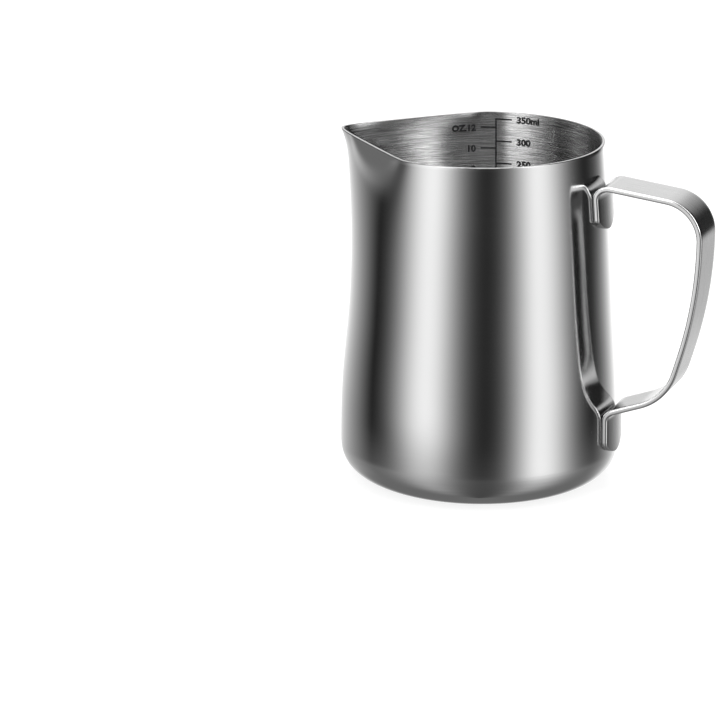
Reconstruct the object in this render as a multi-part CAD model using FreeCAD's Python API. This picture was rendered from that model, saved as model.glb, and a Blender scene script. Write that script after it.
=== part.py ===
import FreeCAD, Part
import math
import os

# Milk frothing pitcher, 350 ml: a deep-drawn steel cup with a pressed V spout,
# a bent strip handle spot-welded to it by two tabs, and a printed scale inside.
# Millimetres. Origin at the centre of the flat base, +Z up, handle on +X, spout on -X.

# ---- driving dimensions -----------------------------------------------------
HEIGHT = 92.9            # base to rim
WALL = 0.8               # sheet thickness of the cup
R_RIM = 32.65            # outer radius of the round part of the rim
R_BELLY = 37.5           # largest outer radius
Z_BELLY = 10.2           # height of the largest radius, where the base corner starts
R_FLAT = 23.1            # radius of the flat base disc
CORNER_POWER = 2.5       # superellipse power of the base corner
# outer wall between belly and rim, as (height, radius)
WALL_POINTS = [(Z_BELLY, R_BELLY), (27.9, 37.13), (46.5, 35.94), (69.7, 34.56), (HEIGHT, R_RIM)]

SPOUT_TIP = 40.0         # axis to the spout's tip at the rim
SPOUT_FLANK = 30.0       # axis to each straight flank of the V, square to it
SPOUT_DEPTH = 75.0       # how far below the rim the pressing reaches
SPOUT_FADE = 12.0        # depth over which the spout falls to about a third
SPOUT_WAIST = 1.0        # how far the wall is drawn in below the spout
CREASE_DEPTH = 5.0       # depth over which the sharp V turns into a round bulge
BULGE_HALF_ANGLE = 65.0  # half width of the round bulge, degrees
TIP_SOFTNESS = 4.5       # degrees over which the tip is rounded
CORNER_STIFFNESS = 1.6   # per mm, how tightly a flank turns into the round rim

STRIP_WIDTH = 13.4       # handle strip
STRIP_THICK = 1.5
STRIP_EDGE = 0.45        # rounding of the strip's four long edges
WELD_GAP = 0.1           # the strip stands this far off the wall; the weld nuggets bridge it
TAB_TOP_Z = 71.8         # lower end of the upper tab
TAB_LOW_Z = 10.6         # lower end of the lower tab
TAB_ROUND = 9.0          # radius that each tab's end is rounded to, across the strip
TAB_SPARE = 0.5          # the strip is made this much longer at both ends, then rounded
WELD_RADIUS = 1.6        # spot-weld nuggets, two on each tab
WELDS = {"weld_upper_1": 79.3, "weld_upper_2": 75.7, "weld_lower_1": 17.9, "weld_lower_2": 14.1}

INK = 0.05               # thickness of the printed layer
SCALE_ANGLE = 102.7      # where the scale's upright line stands, degrees from +X
LINE_WIDTH = 0.42
LINE_LOW_Z = 44.0        # lower end of the upright line
ML_TOP_Z = 90.85         # 350 ml mark
ML_PITCH = 6.35          # from each 50 ml mark to the next
ML_MARKS = 6
ML_TICK = 4.4            # tick length, towards the handle
OZ_TOP_Z = 88.5          # 12 oz mark
OZ_PITCH = 6.0           # from each 2 oz mark to the next
OZ_MARKS = 5
OZ_TICK = 4.24           # tick length, away from the handle

SECTION_STEP = 3.0       # spacing of the cup's rows of surface points
STRIP_STEP = 1.5         # spacing of the strip's sections
LEVEL = 0.02             # how level an edge has to be to count as a level one
REACH = 60.0             # past anything on the cup, seen from its axis


# ---- cup --------------------------------------------------------------------
def hermite(points, x):
    """Smooth curve through points (x, y); flat at the first, straight at the last."""
    slopes = [0.0]
    for i in range(1, len(points) - 1):
        slopes.append((points[i + 1][1] - points[i - 1][1]) / (points[i + 1][0] - points[i - 1][0]))
    slopes.append((points[-1][1] - points[-2][1]) / (points[-1][0] - points[-2][0]))
    for i in range(len(points) - 1):
        x0, y0 = points[i]
        x1, y1 = points[i + 1]
        if x <= x1 or i == len(points) - 2:
            span = x1 - x0
            s = (x - x0) / span
            a = 2 * s ** 3 - 3 * s ** 2 + 1
            b = s ** 3 - 2 * s ** 2 + s
            return a * y0 + b * span * slopes[i] + (1 - a) * y1 + (s ** 3 - s ** 2) * span * slopes[i + 1]


def outer_radius(z):
    """Outer radius of the round cup at height z."""
    if z >= Z_BELLY:
        return hermite(WALL_POINTS, z)
    turn = math.acos((1 - z / Z_BELLY) ** (CORNER_POWER / 2))
    return R_FLAT + (R_BELLY - R_FLAT) * math.sin(turn) ** (2 / CORNER_POWER)


def meridian():
    """Fine points (r, z) up the round cup's outside, from the flat disc to the rim."""
    points = []
    for i in range(90):
        turn = math.radians(i)
        r = R_FLAT + (R_BELLY - R_FLAT) * math.sin(turn) ** (2 / CORNER_POWER)
        points.append((r, Z_BELLY * (1 - math.cos(turn) ** (2 / CORNER_POWER))))
    for i in range(201):
        z = Z_BELLY + (HEIGHT - Z_BELLY) * i / 200.0
        points.append((outer_radius(z), z))
    return points


def moved_inwards(points, distance):
    """The meridian's parallel curve, on its inner side."""
    moved = [(points[0][0], points[0][1] + distance)]
    for (r0, z0), (r, z), (r1, z1) in zip(points, points[1:], points[2:]):
        length = math.hypot(r1 - r0, z1 - z0)
        moved.append((r - distance * (z1 - z0) / length, z + distance * (r1 - r0) / length))
    return moved


def evenly(points, step):
    """Points about one step apart along a fine polyline, ends included."""
    lengths = [0.0]
    for (r0, z0), (r1, z1) in zip(points, points[1:]):
        lengths.append(lengths[-1] + math.hypot(r1 - r0, z1 - z0))
    count = int(round(lengths[-1] / step))
    spaced = []
    k = 0
    for i in range(count + 1):
        goal = lengths[-1] * i / count
        while k < len(points) - 2 and lengths[k + 1] < goal:
            k += 1
        s = (goal - lengths[k]) / (lengths[k + 1] - lengths[k])
        (r0, z0), (r1, z1) = points[k], points[k + 1]
        spaced.append((r0 + s * (r1 - r0), z0 + s * (z1 - z0)))
    return spaced


def spout_v(angle):
    """Rim radius less R_RIM at an angle (degrees) from the spout: a V with pulled-in flanks."""
    tip = math.radians(TIP_SOFTNESS)
    normal = math.acos(SPOUT_FLANK / SPOUT_TIP) + tip
    soft = math.sqrt(math.radians(angle) ** 2 + tip ** 2)
    if soft - normal > math.radians(80):
        return 0.0
    line = SPOUT_FLANK / math.cos(soft - normal)
    if soft <= normal:
        return line - R_RIM
    return -math.log(math.exp(-CORNER_STIFFNESS * (line - R_RIM)) + 1) / CORNER_STIFFNESS


def spout_bulge(angle):
    """Round bulge, 1 at the spout and 0 outside BULGE_HALF_ANGLE."""
    if abs(angle) >= BULGE_HALF_ANGLE:
        return 0.0
    return math.cos(math.radians(90 * angle / BULGE_HALF_ANGLE)) ** 2


def spout_reach(depth):
    """How far the wall is pressed out under the spout's middle; below it the wall is drawn in a little."""
    share = depth / SPOUT_DEPTH
    out = (SPOUT_TIP - R_RIM) * math.exp(-depth / SPOUT_FADE) * (1 - share ** 2)
    return out - SPOUT_WAIST * math.sin(math.pi * share) ** 2


def outer_point(angle, z):
    """Point of the outer wall at an angle from the spout, with the spout pressed in."""
    r = outer_radius(z)
    depth = HEIGHT - z
    if depth < SPOUT_DEPTH:
        sharp = math.exp(-depth / CREASE_DEPTH)
        round_part = spout_reach(depth) - sharp * (SPOUT_TIP - R_RIM)
        r += sharp * spout_v(angle) + round_part * spout_bulge(angle)
    turn = math.radians(angle)
    return FreeCAD.Vector(-r * math.cos(turn), r * math.sin(turn), z)


def spout_angles():
    """Angles over the spout's half of the cup, closer together near its tip."""
    half = [90 * (i / 24.0) ** 1.5 for i in range(25)]
    return [-a for a in reversed(half[1:])] + half


def outline(z, inset):
    """Points of the spout's half of the wall at height z, moved inwards by inset."""
    points = []
    for angle in spout_angles():
        p = outer_point(angle, z)
        along = outer_point(angle + 0.02, z) - outer_point(angle - 0.02, z)
        along.normalize()
        points.append(p + FreeCAD.Vector(along.y, -along.x, 0) * inset)
    return points


def skin(rows):
    """Smooth surface through rows of points."""
    surface = Part.BSplineSurface()
    surface.interpolate(rows)
    return surface


def wall_faces(profile):
    """The wall's two faces over (r, z) points: the spout's half, and the round half."""
    surface = skin([outline(z, outer_radius(z) - r) for r, z in profile])
    spout_half = surface.toShape()
    side = surface.vIso(surface.bounds()[3]).toShape()
    round_half = side.revolve(FreeCAD.Vector(0, 0, 0), FreeCAD.Vector(0, 0, -1), 180)
    return [spout_half, round_half]


def edges_at(faces, z):
    """The faces' edges that lie level at height z, as one closed wire."""
    level = []
    for face in faces:
        for edge in face.Edges:
            box = edge.BoundBox
            if abs(box.ZMin - z) < LEVEL and abs(box.ZMax - z) < LEVEL:
                level.append(edge)
    return Part.Wire(Part.__sortEdges__(level))


def closed_solid(profile):
    """Solid inside the wall over (r, z) points, closed flat at the bottom and the top."""
    walls = wall_faces(evenly(profile, SECTION_STEP))
    ends = [Part.Face(edges_at(walls, z)) for z in (profile[0][1], profile[-1][1])]
    shell = Part.makeShell(walls + ends)
    shell.sewShape()
    return Part.makeSolid(shell)


def inset_profile(inset):
    """The meridian moved inwards by inset, without any overlap at the base corner's end."""
    outside = meridian()
    corner = [p for p in moved_inwards(outside, inset) if p[1] < Z_BELLY]
    return corner + [(r - inset, z) for r, z in outside if z >= Z_BELLY]


# ---- handle strip -----------------------------------------------------------
def wall_x(z):
    """Where the strip's tab faces the cup, WELD_GAP off the wall."""
    return outer_radius(z) + WELD_GAP


# The strip's outer line from the upper tab to the lower one: (x, z, bend radius).
# On the upper tab this line faces the cup, on the lower tab it faces away from it.
HANDLE_ROUTE = [
    (wall_x(TAB_TOP_Z), TAB_TOP_Z - TAB_SPARE, 0),
    (wall_x(85.2), 85.2, 3.8),
    (63.05, 81.75, 11.1),
    (63.05, 55.4, 114.0),
    (54.9, 27.8, 15.6),
    (wall_x(22.0) + STRIP_THICK, 22.0, 2.3),
    (wall_x(TAB_LOW_Z) + STRIP_THICK, TAB_LOW_Z - TAB_SPARE, 0),
]


def route_pieces():
    """The route as runs and arcs: (length, x, z, heading, curvature, camber at each end)."""
    pieces = []
    last = len(HANDLE_ROUTE) - 1
    x0, z0, _ = HANDLE_ROUTE[0]
    for i in range(1, last + 1):
        x, z, radius = HANDLE_ROUTE[i]
        heading = math.atan2(z - z0, x - x0)
        turn = 0.0
        if i < last:
            xb, zb, _ = HANDLE_ROUTE[i + 1]
            turn = math.atan2(zb - z, xb - x) - heading
        cut = radius * math.tan(abs(turn) / 2)
        x1, z1 = x - cut * math.cos(heading), z - cut * math.sin(heading)
        dished = 1.0 if i in (1, last) else 0.0
        pieces.append((math.hypot(x1 - x0, z1 - z0), x0, z0, heading, 0.0, dished, dished))
        if i < last:
            after = 1.0 if i == last - 1 else 0.0
            bend = math.copysign(1 / radius, turn)
            pieces.append((abs(turn) * radius, x1, z1, heading, bend, dished, after))
            x0, z0 = x + cut * math.cos(heading + turn), z + cut * math.sin(heading + turn)
    return pieces


def route_stations(step):
    """Stations (x, z, heading, camber) about one step apart along the whole route."""
    pieces = route_pieces()
    total = sum(piece[0] for piece in pieces)
    count = int(round(total / step))
    stations = []
    for k in range(count + 1):
        s = total * k / count
        for piece in pieces:
            if s <= piece[0] + 1e-9 or piece is pieces[-1]:
                break
            s -= piece[0]
        length, x, z, heading, bend, camber0, camber1 = piece
        share = s / length
        camber = camber0 + (camber1 - camber0) * share * share * (3 - 2 * share)
        h = heading + bend * s
        if bend == 0:
            x, z = x + s * math.cos(heading), z + s * math.sin(heading)
        else:
            x += (math.sin(h) - math.sin(heading)) / bend
            z -= (math.cos(h) - math.cos(heading)) / bend
        stations.append((x, z, h, camber))
    return stations


def strip_sides():
    """The strip's section as eight sides of (across, depth) points, corners rounded."""
    half = STRIP_WIDTH / 2 - STRIP_EDGE
    deep = STRIP_THICK - STRIP_EDGE
    centres = [(half, STRIP_EDGE, -90), (half, deep, 0), (-half, deep, 90), (-half, STRIP_EDGE, 180)]
    corners = []
    for cy, cn, first in centres:
        arc = []
        for k in range(5):
            a = math.radians(first + 22.5 * k)
            arc.append((cy + STRIP_EDGE * math.cos(a), cn + STRIP_EDGE * math.sin(a)))
        corners.append(arc)
    sides = []
    for k in range(4):
        (ya, na), (yb, nb) = corners[k][-1], corners[(k + 1) % 4][0]
        sides.append(corners[k])
        sides.append([(ya + (yb - ya) * s / 6.0, na + (nb - na) * s / 6.0) for s in range(7)])
    return sides


def strip_point(station, across, depth):
    """Point of the strip at a station, dished there by the station's camber."""
    x, z, heading, camber = station
    radius = outer_radius(z) + WELD_GAP
    facing = 1 if heading > -math.pi / 4 else -1
    away = depth - facing * camber * (radius - math.sqrt(radius ** 2 - across ** 2))
    return FreeCAD.Vector(x + away * math.sin(heading), across, z - away * math.cos(heading))


def curve_through(points):
    """Smooth curve through points, its parameter their count, so that neighbours' curves match."""
    curve = Part.BSplineCurve()
    curve.interpolate(Points=points, Parameters=[float(i) for i in range(len(points))])
    return curve


def side_face(stations, side):
    """Surface of one side of the strip along all its stations."""
    along = [curve_through([strip_point(station, *place) for station in stations]) for place in side]
    columns = [curve.getPoles() for curve in along]
    across = [curve_through([column[k] for column in columns]) for k in range(len(columns[0]))]
    poles = [curve.getPoles() for curve in across]
    counts = (along[0].getMultiplicities(), across[0].getMultiplicities())
    knots = (along[0].getKnots(), across[0].getKnots())
    surface = Part.BSplineSurface()
    surface.buildFromPolesMultsKnots(poles, *counts, *knots, False, False, 3, 3)
    return surface.toShape()


def end_face(station):
    """Flat face that closes the strip at a station."""
    edges = []
    for side in strip_sides():
        edges.append(curve_through([strip_point(station, *place) for place in side]).toShape())
    return Part.Face(Part.Wire(edges))


def end_waste(z):
    """What rounding takes off a tab that ends at height z."""
    block = Part.makeBox(REACH / 2, STRIP_WIDTH + 2, TAB_ROUND)
    block.translate(FreeCAD.Vector(REACH / 4, -STRIP_WIDTH / 2 - 1, z - TAB_ROUND / 2))
    centre = FreeCAD.Vector(0, 0, z + TAB_ROUND)
    return block.cut(Part.makeCylinder(TAB_ROUND, REACH, centre, FreeCAD.Vector(1, 0, 0)))


def make_strip():
    """The bent strip, its two tabs lying on the cup, their ends rounded."""
    stations = route_stations(STRIP_STEP)
    faces = [side_face(stations, side) for side in strip_sides()]
    shell = Part.makeShell(faces + [end_face(stations[0]), end_face(stations[-1])])
    shell.sewShape()
    strip = Part.makeSolid(shell)
    return strip.cut([end_waste(TAB_TOP_Z), end_waste(TAB_LOW_Z)]).Solids[0]


# ---- welds and printed scale ------------------------------------------------
def make_weld(z):
    """A spot weld's nugget: fused metal from half way into the cup's wall to half way into the tab."""
    start = FreeCAD.Vector(outer_radius(z) - WALL / 2, 0, z)
    length = WALL / 2 + WELD_GAP + STRIP_THICK / 2
    return Part.makeCylinder(WELD_RADIUS, length, start, FreeCAD.Vector(1, 0, 0))


def line_block(along_low, along_high, z_low, z_high):
    """Block from the axis out through the wall; along runs away from the handle."""
    block = Part.makeBox(REACH, along_high - along_low, z_high - z_low)
    block.translate(FreeCAD.Vector(0, along_low, z_low))
    block.rotate(FreeCAD.Vector(0, 0, 0), FreeCAD.Vector(0, 0, 1), SCALE_ANGLE)
    return block


def make_scale_lines(cavity):
    """The scale's upright line and its ticks, a thin layer on the inner wall."""
    half = LINE_WIDTH / 2
    lines = line_block(-half, half, LINE_LOW_Z, ML_TOP_Z + half)
    ticks = [(ML_TOP_Z - ML_PITCH * i, -ML_TICK, 0) for i in range(ML_MARKS)]
    ticks += [(OZ_TOP_Z - OZ_PITCH * i, 0, OZ_TICK) for i in range(OZ_MARKS)]
    lines = lines.fuse([line_block(low, high, z - half, z + half) for z, low, high in ticks])
    layer = cavity.cut(closed_solid(inset_profile(WALL + INK)))
    return layer.common(lines).Solids[0]


# ---- build ------------------------------------------------------------------
cavity = closed_solid(inset_profile(WALL))
nodes = {name: make_weld(z) for name, z in WELDS.items()}
welds = list(nodes.values())
nodes["cup_body"] = closed_solid(meridian()).cut([cavity] + welds).Solids[0]
nodes["handle_strip"] = make_strip().cut(welds).Solids[0]
nodes["scale_lines"] = make_scale_lines(cavity)

os.makedirs("parts", exist_ok=True)
for name, shape in nodes.items():
    shape.exportStep("parts/" + name + ".step")
    print(name, shape.isValid(), len(shape.Solids), round(shape.Volume, 2), shape.BoundBox)
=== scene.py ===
import bpy
import math
from mathutils import Matrix, Vector


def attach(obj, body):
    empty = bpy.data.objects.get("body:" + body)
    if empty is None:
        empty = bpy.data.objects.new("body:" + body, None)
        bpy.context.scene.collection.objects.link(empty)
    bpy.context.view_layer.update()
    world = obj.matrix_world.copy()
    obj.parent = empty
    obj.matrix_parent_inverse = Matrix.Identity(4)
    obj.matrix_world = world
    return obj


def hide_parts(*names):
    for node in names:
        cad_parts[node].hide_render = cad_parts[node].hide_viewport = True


# Looks of a 350 ml milk frothing pitcher: a drawn steel cup, its welded strip handle and the printed scale.
# Shapes are worked out in millimetres in the row's frame (+Z up, handle on +X, spout on -X), then scaled
# to metres.

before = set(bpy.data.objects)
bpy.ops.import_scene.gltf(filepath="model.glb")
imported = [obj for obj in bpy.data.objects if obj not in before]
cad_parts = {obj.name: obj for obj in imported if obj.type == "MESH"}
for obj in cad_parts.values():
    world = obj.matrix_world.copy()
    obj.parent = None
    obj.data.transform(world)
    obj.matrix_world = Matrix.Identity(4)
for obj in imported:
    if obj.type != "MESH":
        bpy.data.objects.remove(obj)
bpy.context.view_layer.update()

MM = 0.001

# ---- sizes, as in the CAD ---------------------------------------------------
HEIGHT = 92.9            # base to rim
WALL = 0.8               # sheet thickness of the cup
R_RIM = 32.65            # outer radius of the round part of the rim
R_BELLY = 37.5           # largest outer radius
Z_BELLY = 10.2           # height of the largest radius, where the base corner starts
R_FLAT = 23.1            # radius of the flat base disc
CORNER_POWER = 2.5       # superellipse power of the base corner
# outer wall between belly and rim, as (height, radius)
WALL_POINTS = [(Z_BELLY, R_BELLY), (27.9, 37.13), (46.5, 35.94), (69.7, 34.56), (HEIGHT, R_RIM)]

SPOUT_TIP = 40.0         # axis to the spout's tip at the rim
SPOUT_FLANK = 30.0       # axis to each straight flank of the V, square to it
SPOUT_DEPTH = 75.0       # how far below the rim the pressing reaches
SPOUT_FADE = 12.0        # depth over which the spout falls to about a third
SPOUT_WAIST = 1.0        # how far the wall is drawn in below the spout
CREASE_DEPTH = 5.0       # depth over which the sharp V turns into a round bulge
BULGE_HALF_ANGLE = 65.0  # half width of the round bulge, degrees
TIP_SOFTNESS = 4.5       # degrees over which the tip is rounded
CORNER_STIFFNESS = 1.6   # per mm, how tightly a flank turns into the round rim

STRIP_WIDTH = 13.4       # handle strip
STRIP_THICK = 1.5
STRIP_EDGE = 0.45        # rounding of the strip's four long edges
WELD_GAP = 0.1           # the strip stands this far off the wall
TAB_TOP_Z = 71.8         # lower end of the upper tab
TAB_LOW_Z = 10.6         # lower end of the lower tab
TAB_ROUND = 9.0          # radius that each tab's end is rounded to, across the strip

SCALE_ANGLE = 102.7      # where the scale's upright line stands, degrees from +X
LINE_WIDTH = 0.42
LINE_LOW_Z = 44.0        # lower end of the upright line
ML_TOP_Z = 90.85         # 350 ml mark
ML_PITCH = 6.35          # from each 50 ml mark to the next
ML_TICK = 4.4            # tick length, towards the handle
OZ_TOP_Z = 88.5          # 12 oz mark
OZ_PITCH = 6.0           # from each 2 oz mark to the next
OZ_TICK = 4.24           # tick length, away from the handle
INK = 0.05               # thickness of the printed layer

# ---- sizes of the looks alone -----------------------------------------------
RIM_ROUND = 0.2          # rounding of the rim's two edges
INK_SUNK = 0.02          # how far the print reaches into the wall
CAP_HEIGHT = 2.0         # height of the scale's letters
LETTER_WEIGHT = 0.045    # how much bolder the letters are than the built-in font, in letter sizes
LETTER_DEPTH = 0.05      # half thickness of a letter before it is laid on the wall, in letter sizes
ML_TEXT = 5.8            # from the upright line to the millilitre numbers
ML_STRETCH = 1.08        # widening of those numbers
ML_LABELS = ["350ml", "300", "250", "200", "150", "100"]
OZ_TEXT = 5.6            # from the upright line to the ounce numbers
OZ_STRETCH = 1.0
OZ_TEXT_DROP = 0.15      # how far the ounce numbers stand below their ticks
OZ_LABELS = ["OZ.12", "10", "8", "6", "4"]

# ---- how finely the meshes are divided --------------------------------------
BASE_RINGS = 12          # rings of the flat base disc
CORNER_FINE = 720        # steps that the base corner's length is measured with
CORNER_ROWS = 28
WALL_ROWS = 90
RIM_STEPS = 5            # on each of the rim's two edges
HALF_RING = 180          # points from the spout's tip half way round
TIP_CROWDING = 1.45      # 1 spaces those points evenly, more moves them towards the tip
STATION_STEP = 2.0       # spacing of the strip's sections on a straight run
STATION_TURN = 0.05      # radians that the strip turns between two sections in a bend
END_LENGTH = 3.2         # extra sections within this length of each end of the strip
END_STATIONS = 30
LEAST_STEP = 0.004       # sections closer than this are left out
ARC_POINTS = 7           # on each of the section's four rounded corners
SIDE_PARTS = 3           # across each narrow side of the section
FACE_PARTS = 12          # across each broad face of the section
HALF_SECTION = 2 * (ARC_POINTS - 1) + SIDE_PARTS + FACE_PARTS
END_HALF_WIDTH = 0.3     # least half width of the strip at the tip of a tab
INK_CELL_ALONG = 0.8     # the print is divided so that it follows the curved wall
INK_CELL_UP = 1.5


# ---- cup --------------------------------------------------------------------
OUTSIDE, EDGE, INSIDE = 0, 1, 2      # the cup's materials


def hermite(points, x):
    """Smooth curve through points (x, y); flat at the first, straight at the last."""
    slopes = [0.0]
    for i in range(1, len(points) - 1):
        slopes.append((points[i + 1][1] - points[i - 1][1]) / (points[i + 1][0] - points[i - 1][0]))
    slopes.append((points[-1][1] - points[-2][1]) / (points[-1][0] - points[-2][0]))
    for i in range(len(points) - 1):
        x0, y0 = points[i]
        x1, y1 = points[i + 1]
        if x <= x1 or i == len(points) - 2:
            span = x1 - x0
            s = (x - x0) / span
            a = 2 * s ** 3 - 3 * s ** 2 + 1
            b = s ** 3 - 2 * s ** 2 + s
            return a * y0 + b * span * slopes[i] + (1 - a) * y1 + (s ** 3 - s ** 2) * span * slopes[i + 1]


def outer_radius(z):
    """Outer radius of the round cup at height z."""
    if z >= Z_BELLY:
        return hermite(WALL_POINTS, z)
    turn = math.acos((1 - z / Z_BELLY) ** (CORNER_POWER / 2))
    return R_FLAT + (R_BELLY - R_FLAT) * math.sin(turn) ** (2 / CORNER_POWER)


def spout_v(angle):
    """Rim radius less R_RIM at an angle (degrees) from the spout: a V with pulled-in flanks."""
    tip = math.radians(TIP_SOFTNESS)
    normal = math.acos(SPOUT_FLANK / SPOUT_TIP) + tip
    soft = math.sqrt(math.radians(angle) ** 2 + tip ** 2)
    if soft - normal > math.radians(80):
        return 0.0
    line = SPOUT_FLANK / math.cos(soft - normal)
    if soft <= normal:
        return line - R_RIM
    return -math.log(math.exp(-CORNER_STIFFNESS * (line - R_RIM)) + 1) / CORNER_STIFFNESS


def spout_bulge(angle):
    """Round bulge, 1 at the spout and 0 outside BULGE_HALF_ANGLE."""
    if abs(angle) >= BULGE_HALF_ANGLE:
        return 0.0
    return math.cos(math.radians(90 * angle / BULGE_HALF_ANGLE)) ** 2


def spout_reach(depth):
    """How far the wall is pressed out under the spout's middle; below it the wall is drawn in a little."""
    share = depth / SPOUT_DEPTH
    out = (SPOUT_TIP - R_RIM) * math.exp(-depth / SPOUT_FADE) * (1 - share ** 2)
    return out - SPOUT_WAIST * math.sin(math.pi * share) ** 2


def spread(angle, z):
    """How far the pressed spout moves the wall outwards."""
    depth = HEIGHT - z
    if depth >= SPOUT_DEPTH:
        return 0.0
    sharp = math.exp(-depth / CREASE_DEPTH)
    round_part = spout_reach(depth) - sharp * (SPOUT_TIP - R_RIM)
    return sharp * spout_v(angle) + round_part * spout_bulge(angle)


def level_point(angle, z, radius):
    """Point of the outer wall at height z, at an angle (degrees) from the spout."""
    r = radius + spread(angle, z)
    turn = math.radians(angle)
    return Vector((-r * math.cos(turn), r * math.sin(turn), z))


def wall_point(angle, z, radius, inset):
    """Point of the wall at an angle from the spout, moved inwards by inset."""
    p = level_point(angle, z, radius)
    if inset == 0:
        return p
    beside = 0.02
    along = (level_point(angle + beside, z, radius) - level_point(angle - beside, z, radius)).normalized()
    return p + Vector((along.y, -along.x, 0)) * inset


def corner_profile(inset):
    """(radius, z) points of the base corner from the flat disc up to the belly, moved inwards."""
    fine = []
    for i in range(CORNER_FINE + 1):
        turn = math.pi / 2 * i / CORNER_FINE
        r = R_FLAT + (R_BELLY - R_FLAT) * math.sin(turn) ** (2 / CORNER_POWER)
        fine.append((r, Z_BELLY * (1 - math.cos(turn) ** (2 / CORNER_POWER))))
    lengths = [0.0]
    for (r0, z0), (r1, z1) in zip(fine, fine[1:]):
        lengths.append(lengths[-1] + math.hypot(r1 - r0, z1 - z0))
    points = []
    k = 0
    for i in range(CORNER_ROWS):
        goal = lengths[-1] * i / CORNER_ROWS
        while lengths[k + 1] < goal:
            k += 1
        (r0, z0), (r1, z1) = fine[k], fine[k + 1]
        s = (goal - lengths[k]) / (lengths[k + 1] - lengths[k])
        slope = math.atan2(z1 - z0, r1 - r0)
        r, z = r0 + s * (r1 - r0), z0 + s * (z1 - z0)
        points.append((r - inset * math.sin(slope), z + inset * math.cos(slope)))
    return points


def cup_rows():
    """Rows of the cup's surface: (z, radius, inset, material), from under the base to the floor inside."""
    rows = [(0.0, R_FLAT * i / BASE_RINGS, 0.0, OUTSIDE) for i in range(1, BASE_RINGS)]
    rows += [(z, r, 0.0, OUTSIDE) for r, z in corner_profile(0.0)]
    levels = [Z_BELLY + (HEIGHT - RIM_ROUND - Z_BELLY) * i / WALL_ROWS for i in range(WALL_ROWS + 1)]
    rows += [(z, outer_radius(z), 0.0, OUTSIDE) for z in levels]
    for i in range(1, RIM_STEPS + 1):
        turn = math.pi / 2 * i / RIM_STEPS
        z = HEIGHT - RIM_ROUND * (1 - math.sin(turn))
        rows.append((z, outer_radius(z), RIM_ROUND * (1 - math.cos(turn)), EDGE))
    for i in range(RIM_STEPS):
        turn = math.pi / 2 * i / RIM_STEPS
        z = HEIGHT - RIM_ROUND * (1 - math.cos(turn))
        rows.append((z, outer_radius(z), WALL - RIM_ROUND * (1 - math.sin(turn)), EDGE))
    rows += [(z, outer_radius(z), WALL, INSIDE) for z in reversed(levels)]
    rows += [(z, r, 0.0, INSIDE) for r, z in reversed(corner_profile(WALL))]
    rows += [(WALL, R_FLAT * i / BASE_RINGS, 0.0, INSIDE) for i in range(BASE_RINGS - 1, 0, -1)]
    return rows


def ring_angles():
    """Angles from the spout all round, close together at the spout's tip."""
    half = [180 * (i / HALF_RING) ** TIP_CROWDING for i in range(HALF_RING + 1)]
    return [-a for a in reversed(half[1:])] + half[:-1]


def new_object(name, vertices, faces, materials, picks, uvs=None):
    """Mesh object in metres from millimetre points; picks are material indices per face."""
    mesh = bpy.data.meshes.new(name)
    mesh.from_pydata([Vector(v) * MM for v in vertices], [], faces)
    for material in materials:
        mesh.materials.append(material)
    mesh.polygons.foreach_set("material_index", picks)
    mesh.polygons.foreach_set("use_smooth", [True] * len(faces))
    if uvs:
        layer = mesh.uv_layers.new(name="along")
        for loop in mesh.loops:
            layer.data[loop.index].uv = uvs[loop.vertex_index]
    mesh.update()
    obj = bpy.data.objects.new(name, mesh)
    bpy.context.scene.collection.objects.link(obj)
    return obj


def make_cup(materials):
    """The whole cup as one closed mesh; its UVs are the angle and the way along the sheet."""
    angles = ring_angles()
    count = len(angles)
    rows = cup_rows()
    vertices = [Vector((0, 0, 0))]
    uvs = [(0.0, 0.0)]
    travel = 0.0
    last = vertices[0]
    for z, radius, inset, _ in rows:
        ring = [wall_point(a, z, radius, inset) for a in angles]
        travel += (ring[0] - last).length if len(vertices) > 1 else radius
        last = ring[0]
        vertices += ring
        uvs += [(a, travel) for a in angles]
    vertices.append(Vector((0, 0, WALL)))
    uvs.append((0.0, travel + R_FLAT / BASE_RINGS))
    faces = []
    picks = []
    for k in range(count):
        faces.append((0, 1 + k, 1 + (k + 1) % count))
        picks.append(OUTSIDE)
    for j in range(len(rows) - 1):
        a, b = 1 + j * count, 1 + (j + 1) * count
        for k in range(count):
            n = (k + 1) % count
            faces.append((a + k, b + k, b + n, a + n))
            picks.append(EDGE if rows[j + 1][3] == EDGE else rows[j][3])
    a = 1 + (len(rows) - 1) * count
    for k in range(count):
        faces.append((a + k, len(vertices) - 1, a + (k + 1) % count))
        picks.append(INSIDE)
    return new_object("cup", vertices, faces, materials, picks, uvs)


# ---- handle -----------------------------------------------------------------
BROAD_FACE, NARROW_SIDE = 0, 1       # the handle's materials


def wall_x(z):
    """Where the strip's face on the cup stands at height z."""
    return outer_radius(z) + WELD_GAP


# corners of the strip's route from the upper tab's end to the lower tab's, as (x, z, bend radius)
HANDLE_ROUTE = [
    (wall_x(TAB_TOP_Z), TAB_TOP_Z, 0),
    (wall_x(85.2), 85.2, 3.8),
    (63.05, 81.75, 11.1),
    (63.05, 55.4, 114.0),
    (54.9, 27.8, 15.6),
    (wall_x(22.0) + STRIP_THICK, 22.0, 2.3),
    (wall_x(TAB_LOW_Z) + STRIP_THICK, TAB_LOW_Z, 0),
]


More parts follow.
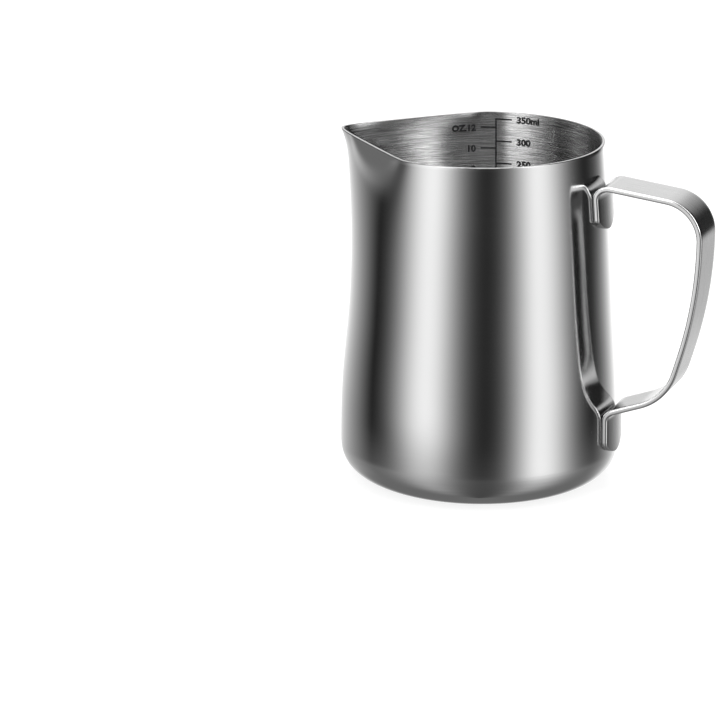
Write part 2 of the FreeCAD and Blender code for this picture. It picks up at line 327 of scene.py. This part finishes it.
def route_pieces():
    """The route as runs and arcs: (length, x, z, heading, curvature, camber at each end)."""
    pieces = []
    last = len(HANDLE_ROUTE) - 1
    x0, z0, _ = HANDLE_ROUTE[0]
    for i in range(1, last + 1):
        x, z, radius = HANDLE_ROUTE[i]
        heading = math.atan2(z - z0, x - x0)
        turn = 0.0
        if i < last:
            xb, zb, _ = HANDLE_ROUTE[i + 1]
            turn = math.atan2(zb - z, xb - x) - heading
        cut = radius * math.tan(abs(turn) / 2)
        x1, z1 = x - cut * math.cos(heading), z - cut * math.sin(heading)
        dished = 1.0 if i in (1, last) else 0.0
        pieces.append((math.hypot(x1 - x0, z1 - z0), x0, z0, heading, 0.0, dished, dished))
        if i < last:
            after = 1.0 if i == last - 1 else 0.0
            bend = math.copysign(1 / radius, turn)
            pieces.append((abs(turn) * radius, x1, z1, heading, bend, dished, after))
            x0, z0 = x + cut * math.cos(heading + turn), z + cut * math.sin(heading + turn)
    return pieces


def station_travels(pieces):
    """Ways along the route to the strip's sections, closer together at the tabs' ends and in the bends."""
    total = sum(piece[0] for piece in pieces)
    travels = []
    start = 0.0
    for length, _, _, _, bend, _, _ in pieces:
        along = int(math.ceil(length / STATION_STEP))
        parts = max(4, along, int(math.ceil(abs(bend) * length / STATION_TURN)))
        travels += [start + length * i / parts for i in range(parts)]
        start += length
    travels.append(total)
    for i in range(1, END_STATIONS):
        near = END_LENGTH * (i / END_STATIONS) ** 2
        travels += [near, total - near]
    return sorted(travels)


def route_stations():
    """The strip's sections as (travel, x, z, heading, camber)."""
    pieces = route_pieces()
    stations = []
    for goal in station_travels(pieces):
        s = goal
        for piece in pieces:
            if s <= piece[0] + 1e-9 or piece is pieces[-1]:
                break
            s -= piece[0]
        length, x, z, heading, bend, camber0, camber1 = piece
        share = s / length
        camber = camber0 + (camber1 - camber0) * share * share * (3 - 2 * share)
        h = heading + bend * s
        if bend == 0:
            x, z = x + s * math.cos(heading), z + s * math.sin(heading)
        else:
            x += (math.sin(h) - math.sin(heading)) / bend
            z -= (math.cos(h) - math.cos(heading)) / bend
        if stations and goal - stations[-1][0] < LEAST_STEP:
            continue
        stations.append((goal, x, z, h, camber))
    return stations


def section_corners(half, edge):
    """The four rounded corners of the strip's section, each as a list of points (across, depth)."""
    deep = STRIP_THICK - edge
    side = half - edge
    step = 90 / (ARC_POINTS - 1)
    corners = []
    for across, depth, first in ((side, edge, -90), (side, deep, 0), (-side, deep, 90), (-side, edge, 180)):
        turns = [math.radians(first + step * k) for k in range(ARC_POINTS)]
        corners.append([(across + edge * math.cos(a), depth + edge * math.sin(a)) for a in turns])
    return corners


def strip_ring(station, total):
    """Ring of points round the strip at a station, and their places in its section."""
    travel, x, z, heading, camber = station
    nx, nz = math.sin(heading), -math.cos(heading)
    end = min(travel, total - travel)
    half = STRIP_WIDTH / 2
    if end < TAB_ROUND:
        half = min(half, math.sqrt(max(TAB_ROUND ** 2 - (TAB_ROUND - end) ** 2, END_HALF_WIDTH ** 2)))
    corners = section_corners(half, min(STRIP_EDGE, 0.9 * half))
    places = []
    for k, arc in enumerate(corners):
        places += arc
        (ya, na), (yb, nb) = arc[-1], corners[(k + 1) % 4][0]
        parts = FACE_PARTS if k in (1, 3) else SIDE_PARTS
        places += [(ya + (yb - ya) * s / parts, na + (nb - na) * s / parts) for s in range(1, parts)]
    radius = outer_radius(min(max(z, 0), HEIGHT)) + WELD_GAP
    # depth is measured away from the cup on the upper tab, and towards it on the lower one
    facing = 1 if heading > -math.pi / 4 else -1
    ring = []
    for across, depth in places:
        away = depth - facing * camber * (radius - math.sqrt(radius ** 2 - across ** 2))
        ring.append(Vector((x + nx * away, across, z + nz * away)))
    return ring, places


def make_handle(materials):
    """The bent strip as one closed mesh; its UVs are the ways along and round the strip."""
    stations = route_stations()
    total = stations[-1][0]
    count = 2 * HALF_SECTION
    vertices = []
    uvs = []
    for station in stations:
        ring, places = strip_ring(station, total)
        vertices += ring
        uvs += [(station[0], across + depth) for across, depth in places]
    faces = []
    picks = []
    for j in range(len(stations) - 1):
        a, b = j * count, (j + 1) * count
        for k in range(count):
            n = (k + 1) % count
            faces.append((a + k, a + n, b + n, b + k))
            broad = k % HALF_SECTION >= HALF_SECTION - FACE_PARTS
            picks.append(BROAD_FACE if broad else NARROW_SIDE)
    faces.append(tuple(range(count - 1, -1, -1)))
    faces.append(tuple((len(stations) - 1) * count + k for k in range(count)))
    picks += [NARROW_SIDE, NARROW_SIDE]
    return new_object("handle", vertices, faces, materials, picks, uvs)


# ---- printed scale ----------------------------------------------------------
def on_wall(along, z, lift):
    """Point on the inner wall, along millimetres from the upright line, away from the handle."""
    azimuth = SCALE_ANGLE + math.degrees(along / (outer_radius(z) - WALL))
    return wall_point(180 - azimuth, z, outer_radius(z), WALL + lift)


def ink_slab(along0, along1, z0, z1):
    """Vertices and faces of a thin block of ink on the wall."""
    across = max(1, int(math.ceil((along1 - along0) / INK_CELL_ALONG)))
    up = max(1, int(math.ceil((z1 - z0) / INK_CELL_UP)))
    vertices = []
    for lift in (-INK_SUNK, INK):
        for j in range(up + 1):
            for i in range(across + 1):
                u = along0 + (along1 - along0) * i / across
                vertices.append(on_wall(u, z0 + (z1 - z0) * j / up, lift))
    wide = across + 1
    back = wide * (up + 1)
    faces = []
    for j in range(up):
        for i in range(across):
            a = j * wide + i
            faces.append((a, a + wide, a + wide + 1, a + 1))
            faces.append((back + a, back + a + 1, back + a + wide + 1, back + a + wide))
    border = list(range(across)) + [j * wide + across for j in range(up)]
    border += [up * wide + i for i in range(across, 0, -1)] + [j * wide for j in range(up, 0, -1)]
    for a, b in zip(border, border[1:] + border[:1]):
        faces.append((a, b, back + b, back + a))
    return vertices, faces


def letter_shape(body):
    """Mesh of a label in the built-in font, lying flat."""
    curve = bpy.data.curves.new("label", "FONT")
    curve.body = body
    curve.size = 1.0
    curve.offset = LETTER_WEIGHT
    curve.extrude = LETTER_DEPTH
    curve.resolution_u = 4
    holder = bpy.data.objects.new("label", curve)
    bpy.context.scene.collection.objects.link(holder)
    bpy.context.view_layer.update()
    shape = bpy.data.meshes.new_from_object(holder.evaluated_get(bpy.context.evaluated_depsgraph_get()))
    bpy.data.objects.remove(holder)
    bpy.data.curves.remove(curve)
    return shape


def ink_text(body, start, centre_z, to_left, stretch):
    """Vertices and faces of a label, its letters wrapped on the wall."""
    shape = letter_shape(body)
    xs = [v.co.x for v in shape.vertices]
    ys = [v.co.y for v in shape.vertices]
    scale = CAP_HEIGHT / (max(ys) - min(ys))
    vertices = []
    for v in shape.vertices:
        if to_left:
            along = start + (max(xs) - v.co.x) * scale * stretch
        else:
            along = -(start + (v.co.x - min(xs)) * scale * stretch)
        z = centre_z + (v.co.y - min(ys)) * scale - CAP_HEIGHT / 2
        vertices.append(on_wall(along, z, INK if v.co.z > 0 else -INK_SUNK))
    faces = [tuple(p.vertices) for p in shape.polygons]
    bpy.data.meshes.remove(shape)
    return vertices, faces


def make_scale(material):
    """Upright line, ticks and numbers as one piece of print."""
    half = LINE_WIDTH / 2
    pieces = [ink_slab(-half, half, LINE_LOW_Z, ML_TOP_Z + half)]
    for i, label in enumerate(ML_LABELS):
        z = ML_TOP_Z - ML_PITCH * i
        pieces.append(ink_slab(-ML_TICK, -half, z - half, z + half))
        pieces.append(ink_text(label, ML_TEXT, z, False, ML_STRETCH))
    for i, label in enumerate(OZ_LABELS):
        z = OZ_TOP_Z - OZ_PITCH * i
        pieces.append(ink_slab(half, OZ_TICK, z - half, z + half))
        pieces.append(ink_text(label, OZ_TEXT, z - OZ_TEXT_DROP, True, OZ_STRETCH))
    vertices = []
    faces = []
    for points, polygons in pieces:
        base = len(vertices)
        vertices += points
        faces += [tuple(base + k for k in polygon) for polygon in polygons]
    obj = new_object("scale_print", vertices, faces, [material], [0] * len(faces))
    obj.data.polygons.foreach_set("use_smooth", [False] * len(faces))
    return obj


# ---- node helpers -----------------------------------------------------------
class Graph:
    """Short way to write shader nodes: node returns the new node, the others its output socket."""

    def __init__(self, tree):
        self.tree = tree

    def node(self, kind, inputs=None, **settings):
        made = self.tree.nodes.new(kind)
        for key, value in settings.items():
            setattr(made, key, value)
        for key, value in (inputs or {}).items():
            if isinstance(value, bpy.types.NodeSocket):
                self.tree.links.new(value, made.inputs[key])
            else:
                made.inputs[key].default_value = value
        return made

    def math(self, operation, a, b=0.0, c=0.0):
        return self.node("ShaderNodeMath", {0: a, 1: b, 2: c}, operation=operation).outputs[0]

    def vector(self, x, y, z):
        return self.node("ShaderNodeCombineXYZ", {0: x, 1: y, 2: z}).outputs[0]

    def noise(self, vector, scale, detail=2.0, roughness=0.5):
        inputs = {"Vector": vector, "Scale": scale, "Detail": detail, "Roughness": roughness}
        return self.node("ShaderNodeTexNoise", inputs).outputs[0]

    def remap(self, value, low, high, to_low, to_high, smooth=False):
        inputs = {"Value": value, "From Min": low, "From Max": high, "To Min": to_low, "To Max": to_high}
        kind = "SMOOTHSTEP" if smooth else "LINEAR"
        return self.node("ShaderNodeMapRange", inputs, interpolation_type=kind).outputs[0]

    def noise_to(self, noise, to_low, to_high):
        """Noise, which mostly stays between 0.3 and 0.7, stretched to another range."""
        return self.remap(noise, 0.3, 0.7, to_low, to_high)

    def ramp(self, value, stops, kind):
        made = self.node("ShaderNodeValToRGB", {0: value})
        ramp = made.color_ramp
        ramp.interpolation = kind
        while len(ramp.elements) < len(stops):
            ramp.elements.new(0.5)
        for element, (place, level) in zip(ramp.elements, stops):
            element.position = place
            element.color = grey(level)
        return made.outputs[0]

    def blend(self, share, a, b):
        return self.node("ShaderNodeMix", {0: share, 2: a, 3: b}, data_type="FLOAT").outputs[0]

    def mix(self, share, a, b):
        return self.node("ShaderNodeMix", {0: share, 6: a, 7: b}, data_type="RGBA").outputs[2]

    def bump(self, height, strength, distance):
        """Bumps from a texture; distance is their height in metres."""
        inputs = {"Height": height, "Strength": strength, "Distance": distance}
        return self.node("ShaderNodeBump", inputs).outputs[0]

    def object_place(self):
        return self.node("ShaderNodeTexCoord").outputs["Object"]


def grey(level):
    return (level, level, level, 1)


def new_material(name):
    material = bpy.data.materials.new(name)
    material.use_nodes = True
    graph = Graph(material.node_tree)
    shader = material.node_tree.nodes["Principled BSDF"]
    return material, graph, shader


def round_the_axis(graph, cells, per_mm):
    """Coordinates for lines that run round the cup: cells per radian, and lines per mm up the wall."""
    flat = graph.node("ShaderNodeVectorMath", {0: graph.object_place(), 1: (1, 1, 0)}, operation="MULTIPLY")
    unit = graph.node("ShaderNodeVectorMath", {0: flat.outputs[0]}, operation="NORMALIZE").outputs[0]
    around = graph.node("ShaderNodeSeparateXYZ", {0: unit})
    travel = graph.node("ShaderNodeUVMap", uv_map="along").outputs[0]
    travel = graph.node("ShaderNodeSeparateXYZ", {0: travel}).outputs[1]
    x = graph.math("MULTIPLY", around.outputs[0], cells)
    y = graph.math("MULTIPLY", around.outputs[1], cells)
    return graph.vector(x, y, graph.math("MULTIPLY", travel, per_mm))


# ---- materials --------------------------------------------------------------
def cup_outside():
    """Polished drawn steel with very fine polishing lines round it."""
    material, graph, shader = new_material("cup_outside_steel")
    lines = graph.noise(round_the_axis(graph, 3.0, 5.0), 1.0, 3.0, 0.6)
    haze = graph.noise(round_the_axis(graph, 2.0, 0.06), 1.0, 2.0)
    shade = graph.noise_to(lines, 0.965, 1.0)
    colour = graph.mix(shade, grey(0.50), grey(0.76))
    graph.tree.links.new(colour, shader.inputs["Base Color"])
    rough = graph.math("ADD", graph.noise_to(haze, 0.07, 0.11), graph.noise_to(lines, 0.0, 0.02))
    graph.tree.links.new(rough, shader.inputs["Roughness"])
    shader.inputs["Metallic"].default_value = 1.0
    graph.tree.links.new(graph.bump(lines, 0.03, 0.00005), shader.inputs["Normal"])
    return material


def cup_inside():
    """Steel brushed round the axis: it spreads reflections up and down the wall only."""
    material, graph, shader = new_material("cup_inside_steel")
    material.node_tree.nodes.remove(shader)
    streaks = graph.noise(round_the_axis(graph, 4.0, 4.0), 1.0, 1.0, 0.5)
    fine = graph.noise(round_the_axis(graph, 9.0, 9.0), 1.0, 2.0, 0.6)
    both = graph.math("ADD", graph.math("MULTIPLY", streaks, 0.6), graph.math("MULTIPLY", fine, 0.4))
    shade = graph.remap(both, 0.35, 0.65, 0.0, 1.0)
    colour = graph.mix(shade, grey(0.38), grey(0.82))
    rough = graph.remap(both, 0.35, 0.65, 0.27, 0.22)
    bump = graph.bump(both, 0.1, 0.0001)
    tangent = graph.node("ShaderNodeTangent", direction_type="RADIAL", axis="Z").outputs[0]
    inputs = {"Color": colour, "Roughness": rough, "Anisotropy": 0.9, "Normal": bump, "Tangent": tangent}
    metal = graph.node("ShaderNodeBsdfAnisotropic", inputs).outputs[0]
    graph.tree.links.new(metal, material.node_tree.nodes["Material Output"].inputs["Surface"])
    return material


def cut_edge():
    """Trimmed edge of the sheet, duller than the polished wall."""
    material, graph, shader = new_material("cut_edge_steel")
    nicks = graph.noise(graph.object_place(), 900.0, 3.0)
    colour = graph.mix(graph.noise_to(nicks, 0, 1), grey(0.30), grey(0.44))
    graph.tree.links.new(colour, shader.inputs["Base Color"])
    graph.tree.links.new(graph.noise_to(nicks, 0.16, 0.26), shader.inputs["Roughness"])
    shader.inputs["Metallic"].default_value = 1.0
    return material


def handle_steel(name, dark, bright, roughest, smoothest):
    """Steel brushed along the strip."""
    material, graph, shader = new_material(name)
    place = graph.node("ShaderNodeUVMap", uv_map="along").outputs[0]
    split = graph.node("ShaderNodeSeparateXYZ", {0: place})
    along = graph.math("MULTIPLY", split.outputs[0], 0.12)
    across = graph.math("MULTIPLY", split.outputs[1], 5.0)
    grain = graph.noise(graph.vector(along, across, 0.0), 1.0, 3.0, 0.6)
    colour = graph.mix(graph.noise_to(grain, 0.0, 1.0), grey(dark), grey(bright))
    graph.tree.links.new(colour, shader.inputs["Base Color"])
    graph.tree.links.new(graph.noise_to(grain, roughest, smoothest), shader.inputs["Roughness"])
    shader.inputs["Metallic"].default_value = 1.0
    graph.tree.links.new(graph.bump(grain, 0.06, 0.0001), shader.inputs["Normal"])
    return material


def weld_steel():
    """Dull fused metal of the spot welds."""
    material, graph, shader = new_material("weld_nugget_steel")
    patches = graph.noise(graph.object_place(), 1500.0, 4.0)
    colour = graph.mix(patches, (0.25, 0.23, 0.21, 1), (0.5, 0.48, 0.46, 1))
    graph.tree.links.new(colour, shader.inputs["Base Color"])
    graph.tree.links.new(graph.noise_to(patches, 0.35, 0.6), shader.inputs["Roughness"])
    shader.inputs["Metallic"].default_value = 1.0
    return material


def scale_ink():
    """Matte black print, a little worn."""
    material, graph, shader = new_material("scale_black_ink")
    worn = graph.noise(graph.object_place(), 2500.0, 3.0)
    wear = graph.remap(worn, 0.45, 0.8, 0, 1)
    colour = graph.mix(wear, (0.012, 0.012, 0.013, 1), (0.045, 0.045, 0.047, 1))
    graph.tree.links.new(colour, shader.inputs["Base Color"])
    graph.tree.links.new(graph.noise_to(worn, 0.45, 0.65), shader.inputs["Roughness"])
    return material


# ---- pieces -----------------------------------------------------------------
cup = make_cup([cup_outside(), cut_edge(), cup_inside()])
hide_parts("cup_body")
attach(cup, "root")

# The narrow sides get a much lighter copy of the same brushed steel: a painted highlight along the strip's
# rounded edges.
handle = make_handle([
    handle_steel("handle_face_steel", 0.36, 0.47, 0.17, 0.11),
    handle_steel("handle_edge_steel_painted_highlight", 0.68, 0.80, 0.16, 0.10)])
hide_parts("handle_strip")
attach(handle, "root")

scale = make_scale(scale_ink())
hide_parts("scale_lines")
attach(scale, "root")

weld = weld_steel()
for name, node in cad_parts.items():
    if name.startswith("weld_"):
        for slot in node.material_slots:
            slot.material = weld

# ---- studio -----------------------------------------------------------------
CAMERA_PLACE = Vector((304.6, -860.2, 311.7))
CAMERA_TURN = 21.532     # degrees that the view is turned from +Y towards -X
CAMERA_DIP = 17.083      # degrees that it looks down
LENS = 176.3
SENSOR = 36.0

FLOOR_HALF = 12000.0
FLOOR_DROP = 0.02        # keeps the floor's plane clear of the base

# Soft lights: (centre in degrees to the camera's right, spread on its left, spread on its right).
LEFT_LIGHT = (-45.0, 18.0, 16.0)
RIGHT_LIGHT = (52.0, 15.0, 18.8)
WINDOW = (-130.0, 9.0, 9.0)
BACK_GAP = (136.0, 24.0, 13.0)
CAMERA_SHADE = (7.0, 30.0, 30.0)
LEFT_LEVEL = 0.82
RIGHT_LEVEL = 0.81
HIGH_LEVEL = 4.3         # the lights above the horizon
TOP_LEVEL = 1.5          # straight above
STUDIO_STRENGTH = 1.37

# How the lights fall off towards the table: (height, share), height 0 straight down and 0.5 level.
# They end a little above the table; below that the table gives them back weakly.
LEFT_FALL = [
    (0.0, 0.0), (0.05, 0.10), (0.11, 0.20), (0.21, 0.27), (0.29, 0.34), (0.325, 0.40), (0.337, 0.48),
    (0.3455, 0.58), (0.354, 0.74), (0.37, 1.0)]
RIGHT_FALL = [
    (0.0, 0.0), (0.05, 0.10), (0.11, 0.22), (0.20, 0.34), (0.27, 0.48), (0.325, 0.70), (0.338, 1.0)]
BACK_FALL = [(0.13, 0.0), (0.18, 0.12), (0.25, 0.5), (0.325, 0.6), (0.37, 1.0)]

# The lights above the horizon, with harder inner edges: (degrees to the camera's right, level).
HIGH_LIGHT = [
    (-180, 0.235), (-165, 0.17), (-152, 0.03), (-112, 0.03), (-78, 0.02), (-66, 0.12), (-50, 0.50),
    (-42, 0.75), (-28, 0.62), (-22, 0.03), (34, 0.03), (42, 0.75), (48, 1.0), (58, 0.70), (70, 0.10),
    (85, 0.03), (100, 0.005), (141, 0.005), (148, 0.08), (156, 0.13), (165, 0.21), (180, 0.235)]


def make_camera():
    data = bpy.data.cameras.new("camera")
    data.lens = LENS
    data.sensor_width = SENSOR
    data.clip_start = 0.01
    data.clip_end = 50.0
    camera = bpy.data.objects.new("camera", data)
    bpy.context.scene.collection.objects.link(camera)
    turn = Matrix.Rotation(math.radians(CAMERA_TURN), 4, "Z")
    dip = Matrix.Rotation(math.radians(90 - CAMERA_DIP), 4, "X")
    camera.matrix_world = Matrix.Translation(CAMERA_PLACE * MM) @ turn @ dip
    return camera


def make_floor():
    """Plain pale floor, lit from inside like a light table, out of the steel's reflections."""
    corners = [(x * FLOOR_HALF, y * FLOOR_HALF, -FLOOR_DROP) for x, y in ((-1, -1), (1, -1), (1, 1), (-1, 1))]
    material, graph, shader = new_material("floor_white")
    tone = graph.noise_to(graph.noise(graph.object_place(), 3.0, 2.0), 0.0, 1.0)
    colour = graph.mix(tone, grey(0.30), grey(0.32))
    graph.tree.links.new(colour, shader.inputs["Base Color"])
    shader.inputs["Roughness"].default_value = 0.9
    shader.inputs["Specular IOR Level"].default_value = 0.0
    shader.inputs["Emission Color"].default_value = grey(1.0)
    shader.inputs["Emission Strength"].default_value = 0.82
    floor = new_object("floor", corners, [(0, 1, 2, 3)], [material], [0])
    floor.visible_glossy = False


def soft_light(graph, turned, light):
    """Soft vertical light: 1 at its centre, falling off to its two sides by their spreads."""
    centre, left_spread, right_spread = light
    away = graph.math("SUBTRACT", turned, centre)
    side_spread = graph.remap(away, -0.01, 0.01, left_spread, right_spread)
    share = graph.math("DIVIDE", away, side_spread)
    return graph.math("EXPONENT", graph.math("MULTIPLY", graph.math("MULTIPLY", share, share), -0.5))


def back_light(graph, turned, rise, height):
    """Pale back, strongest behind the pitcher; it weakens upwards, with a dark gap on the handle's side."""
    on_left = graph.math("POWER", graph.remap(turned, -100, -185, 0.0, 1.0), 1.3)
    on_right = graph.math("POWER", graph.remap(turned, 105, 157, 0.0, 1.0), 2.0)
    back = graph.math("MINIMUM", graph.math("ADD", on_left, on_right), 1.0)
    back = graph.math("MULTIPLY", back, graph.remap(rise, -0.02, 0.16, 1.0, 0.3, True))
    gap = soft_light(graph, turned, BACK_GAP)
    gap = graph.math("MULTIPLY", gap, graph.remap(rise, -0.235, -0.12, 0.0, 1.0, True))
    back = graph.math("MULTIPLY", back, graph.math("SUBTRACT", 1.0, gap))
    return graph.math("MULTIPLY", back, graph.ramp(height, BACK_FALL, "LINEAR"))


def ambient_light(graph, turned, rise):
    """Dark room with a weak fill on the left, and below it the table, darker towards the camera."""
    shade = soft_light(graph, turned, CAMERA_SHADE)
    table = graph.math("MULTIPLY_ADD", shade, -0.07, 0.125)
    room = graph.blend(graph.remap(rise, -0.27, -0.38, 0.0, 1.0, True), 0.008, table)
    fill_rise = graph.remap(rise, -0.12, -0.02, 0.0, 0.08, True)
    fill = graph.math("MULTIPLY", fill_rise, graph.remap(turned, -60, 0, 1.0, 0.05))
    return graph.math("ADD", room, fill)


def low_light(graph, turned, rise, height):
    """All that the steel sees below the horizon and level with it."""
    left_fall = graph.math("MULTIPLY", graph.ramp(height, LEFT_FALL, "EASE"), LEFT_LEVEL)
    right_fall = graph.math("MULTIPLY", graph.ramp(height, RIGHT_FALL, "EASE"), RIGHT_LEVEL)
    left = graph.math("MULTIPLY", soft_light(graph, turned, LEFT_LIGHT), left_fall)
    right = graph.math("MULTIPLY", soft_light(graph, turned, RIGHT_LIGHT), right_fall)
    rest = graph.math("ADD", back_light(graph, turned, rise, height), ambient_light(graph, turned, rise))
    return graph.math("ADD", graph.math("ADD", left, right), rest)


def high_light(graph, turned, rise):
    """All that the steel sees above the horizon: the same lights, and a window high on the left."""
    around = graph.remap(turned, -180, 180, 0, 1)
    lights = graph.ramp(around, [(angle / 360 + 0.5, level) for angle, level in HIGH_LIGHT], "LINEAR")
    window = soft_light(graph, turned, WINDOW)
    window = graph.math("MULTIPLY", window, graph.remap(rise, 0.45, 0.6, 0.0, 0.3))
    return graph.math("MULTIPLY", graph.math("ADD", lights, window), HIGH_LEVEL)


def make_world():
    """Soft studio: tall soft lights left and right of the camera, a dark room behind it, a pale back."""
    world = bpy.data.worlds.new("studio")
    bpy.context.scene.world = world
    world.use_nodes = True
    graph = Graph(world.node_tree)
    world.node_tree.nodes.clear()
    direction = graph.node("ShaderNodeTexCoord").outputs["Generated"]
    split = graph.node("ShaderNodeSeparateXYZ", {0: direction})
    rise = split.outputs[2]
    height = graph.remap(rise, -1, 1, 0, 1)
    azimuth = graph.math("ARCTAN2", split.outputs[1], split.outputs[0])
    ahead = math.atan2(CAMERA_PLACE.y, CAMERA_PLACE.x)
    turned = graph.math("MULTIPLY", graph.math("SUBTRACT", azimuth, ahead), 180 / math.pi)
    turned = graph.math("WRAP", turned, 180.0, -180.0)
    low = low_light(graph, turned, rise, height)
    high = high_light(graph, turned, rise)
    sides = graph.blend(graph.remap(rise, 0.04, 0.20, 0.0, 1.0, True), low, high)
    level = graph.blend(graph.remap(rise, 0.85, 0.97, 0.0, 1.0, True), sides, TOP_LEVEL)
    steel_sees = graph.node("ShaderNodeBackground", {"Color": level, "Strength": STUDIO_STRENGTH}).outputs[0]
    camera_sees = graph.node("ShaderNodeBackground", {"Color": grey(1.0), "Strength": 1.0}).outputs[0]
    ray = graph.node("ShaderNodeLightPath").outputs["Is Camera Ray"]
    both = graph.node("ShaderNodeMixShader", {0: ray, 1: steel_sees, 2: camera_sees}).outputs[0]
    graph.node("ShaderNodeOutputWorld", {"Surface": both})


def make_light(name, place, size, power):
    """Round soft light above, aimed at the base and left out of the steel's reflections."""
    data = bpy.data.lights.new(name, "AREA")
    data.shape = "DISK"
    data.size = size
    data.energy = power
    light = bpy.data.objects.new(name, data)
    bpy.context.scene.collection.objects.link(light)
    light.location = place
    light.rotation_euler = Vector(place).to_track_quat("Z", "Y").to_euler()
    light.visible_glossy = False


bpy.context.scene.camera = make_camera()
make_floor()
make_world()
make_light("top_softbox", (0.2, 0.3, 2.2), 1.8, 15.0)

bpy.context.scene.view_settings.view_transform = "Standard"
bpy.context.scene.view_settings.look = "None"
